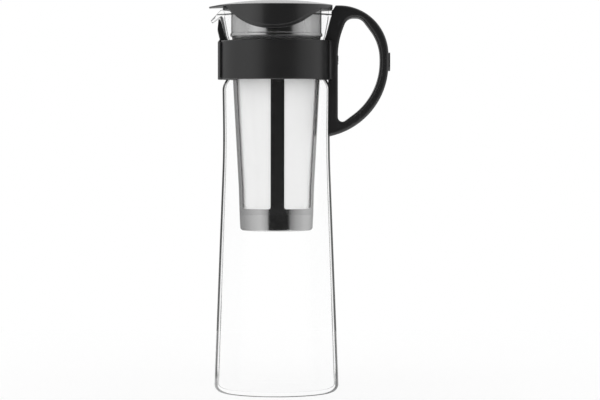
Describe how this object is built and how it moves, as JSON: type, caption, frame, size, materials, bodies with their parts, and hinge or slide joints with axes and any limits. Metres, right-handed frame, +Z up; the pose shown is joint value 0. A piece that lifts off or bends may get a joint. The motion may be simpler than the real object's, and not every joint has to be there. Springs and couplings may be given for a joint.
{
  "type": "cold brew coffee maker",
  "caption": "Tall clear glass pot with a black neck band, loop handle, spouted lid and a long mesh strainer hanging inside it.",
  "frame": {"origin": "centre of the foot's resting plane, on the bottle's axis", "axes": "+Z up along the bottle's axis, -X toward the spout, +X toward the handle"},
  "size_m": [0.1371, 0.0942, 0.2976],
  "materials": {
    "clear_glass": "clear polished borosilicate glass",
    "black_plastic": "satin black moulded plastic",
    "dark_gloss": "glossy dark plate",
    "black_rubber": "soft black silicone",
    "screw_steel": "stainless steel",
    "collar_steel": "polished stainless steel tube",
    "frame_steel": "pressed stainless steel ribs",
    "cap_steel": "polished stainless steel cup",
    "mesh_fabric": "fine pale woven mesh"
  },
  "bodies": {
    "bottle": {"glass_bottle": "clear_glass", "neck_band": "black_plastic", "band_liner": "black_rubber", "band_clip": "black_plastic", "handle": "black_plastic", "handle_badge": "dark_gloss", "handle_screw": "screw_steel", "handle_nut": "screw_steel"},
    "strainer": {"strainer_rim": "black_plastic", "strainer_collar": "collar_steel", "strainer_frame": "frame_steel", "mesh_panel_1": "mesh_fabric", "mesh_panel_2": "mesh_fabric", "mesh_panel_3": "mesh_fabric", "mesh_panel_4": "mesh_fabric"},
    "bottom_cap": {"bottom_cap": "cap_steel", "cap_seal": "black_rubber"},
    "lid": {"lid_shell": "black_plastic", "lid_plug": "black_plastic", "lid_seal": "black_rubber"}
  },
  "joints": [
    {"name": "strainer_lift", "type": "slide", "parent": "bottle", "child": "strainer", "axis": [0, 0, 1], "range_m": [0, 0.18]},
    {"name": "lid_lift", "type": "slide", "parent": "strainer", "child": "lid", "axis": [0, 0, 1], "range_m": [0, 0.06]},
    {"name": "cap_pull", "type": "slide", "parent": "strainer", "child": "bottom_cap", "axis": [0, 0, -1], "range_m": [0, 0.012]}
  ]
}
